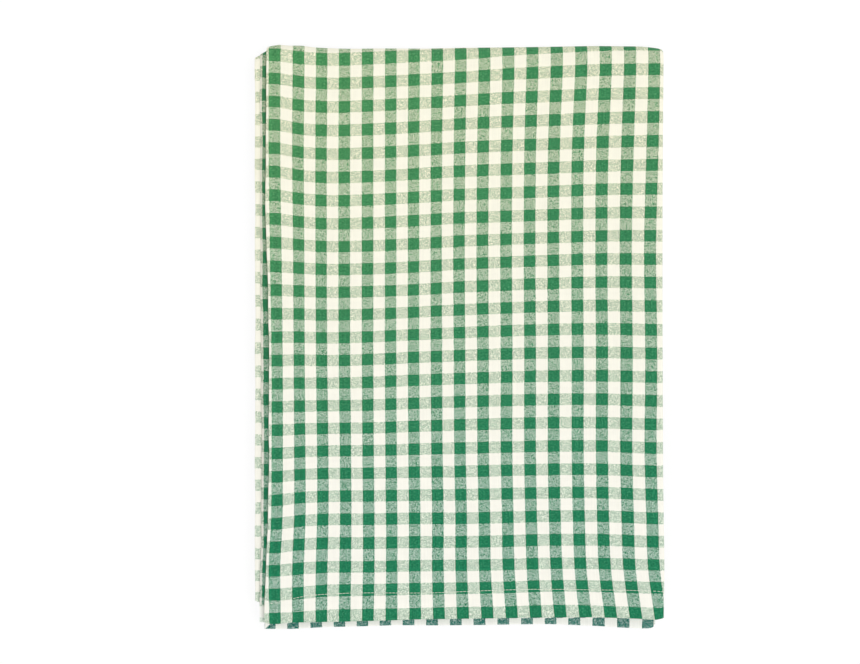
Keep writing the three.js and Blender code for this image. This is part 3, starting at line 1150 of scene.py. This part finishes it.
def thread_material():
    """Cream sewing cotton with its twist, and painted shade in its grooves."""
    material = bpy.data.materials.new("hem_thread")
    bench = fresh_bench(material)
    own_place = bench.node("ShaderNodeTexCoord").outputs["Object"]
    fibre = bench.node("ShaderNodeGroup", {
        "Place": own_place,
        "Fibre Size": 0.0002,
        "Mottling": 0.1,
    }, node_tree=FIBRE).outputs
    twist = bench.node("ShaderNodeTexWave", {
        "Vector": own_place,
        "Scale": 700.0,
        "Distortion": 1.5,
        "Detail": 1.0,
    }, bands_direction="DIAGONAL").outputs["Fac"]
    # Painted shade: the thread is darker in the grooves of its twist.
    twist_shade = bench.math("MULTIPLY_ADD", twist, 0.10, 0.92)
    tone = bench.math("MULTIPLY", fibre["Tone"], twist_shade)
    relief = bench.math("ADD", twist, fibre["Fuzz"])
    bump = bench.node("ShaderNodeBump", {"Strength": 0.5, "Distance": 0.00008, "Height": relief})
    show(bench, bench.node("ShaderNodeBsdfPrincipled", {
        "Base Color": bench.toned(THREAD_CREAM, tone),
        "Roughness": bench.math("MULTIPLY_ADD", fibre["Fuzz"], 0.15, 0.62),
        "Normal": bump.outputs[0],
        "Specular IOR Level": 0.3,
    }))
    return material


# -------------------------------------------------------- floor, light, camera

FLOOR_REACH = 6.0
FLOOR_GREY = 0.85      # what the floor throws back on the cloth
SEEN_GREY = 0.12       # and how much of its shading is seen
FLOOR_GLOW = 0.895
AMBIENT = 0.80
KEY_STRENGTH = 0.85
KEY_ANGLE = 32
KEY_FROM = (0.5, -0.1, 1.0)
VIEW_WIDTH = 0.7514
VIEW_HEIGHT = 3.0
VIEW_MIDDLE = (-0.0258, 0.0051)
SENSOR = 36.0


def seen_white(bench):
    """1 where the background is seen, straight or in a gloss, and 0 else."""
    path = bench.node("ShaderNodeLightPath").outputs
    seen = bench.math("MAXIMUM", path["Is Camera Ray"], path["Is Glossy Ray"])
    return bench.math("MAXIMUM", seen, path["Is Transmission Ray"])


def pale_floor():
    """A plain white floor that keeps the cloth's soft shadow."""
    mesh = bpy.data.meshes.new("floor")
    reach = FLOOR_REACH
    corners = [(-reach, -reach, 0), (reach, -reach, 0), (reach, reach, 0), (-reach, reach, 0)]
    mesh.from_pydata(corners, [], [(0, 1, 2, 3)])
    material = bpy.data.materials.new("white_floor")
    bench = fresh_bench(material)
    seen = seen_white(bench)
    grey = bench.math("MULTIPLY_ADD", seen, SEEN_GREY - FLOOR_GREY, FLOOR_GREY)
    paper = bench.node("ShaderNodeBsdfDiffuse", {"Color": bench.vector(grey, grey, grey)})
    glow = bench.node("ShaderNodeEmission", {
        "Color": WHITE,
        "Strength": bench.math("MULTIPLY", seen, FLOOR_GLOW),
    })
    show(bench, bench.node("ShaderNodeAddShader", {0: paper.outputs[0], 1: glow.outputs[0]}))
    mesh.materials.append(material)
    placed("floor", mesh)


def studio_light():
    """An even white room, and one broad lamp from the right."""
    world = bpy.data.worlds.new("studio")
    bpy.context.scene.world = world
    bench = fresh_bench(world)
    strength = bench.math("MULTIPLY_ADD", seen_white(bench), 1.0 - AMBIENT, AMBIENT)
    room = bench.node("ShaderNodeBackground", {"Color": WHITE, "Strength": strength})
    show(bench, room, "ShaderNodeOutputWorld")

    key = bpy.data.lights.new("key", "SUN")
    key.energy = KEY_STRENGTH
    key.angle = math.radians(KEY_ANGLE)
    placed("key", key).rotation_euler = Vector(KEY_FROM).to_track_quat("Z", "Y").to_euler()


def overhead_camera():
    """Looks straight down, with the cloth a little right of the middle."""
    data = bpy.data.cameras.new("overhead")
    data.sensor_width = SENSOR
    data.sensor_fit = "HORIZONTAL"
    data.lens = SENSOR * VIEW_HEIGHT / VIEW_WIDTH
    data.clip_end = 50.0
    camera = placed("overhead", data)
    camera.location = (*VIEW_MIDDLE, CAD_BOX[1][2] + VIEW_HEIGHT)
    bpy.context.scene.camera = camera


# --------------------------------------------------------------- all together

wrong_side, right_side, across_places, along_places = folded_sheet()
wrong_side, right_side = set_down([wrong_side, right_side])
woven = weave_places((wrong_side + right_side) / 2, across_places, along_places)

cloth = placed("gingham_cloth", cloth_mesh(wrong_side, right_side, woven))
cloth.data.materials.append(gingham_material())
stitches = sew_hems(wrong_side, right_side, across_places, along_places, thread_material())

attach(cloth, "root")
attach(stitches, "root")
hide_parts("tablecloth")

pale_floor()
studio_light()
overhead_camera()
bpy.context.scene.view_settings.view_transform = "Standard"
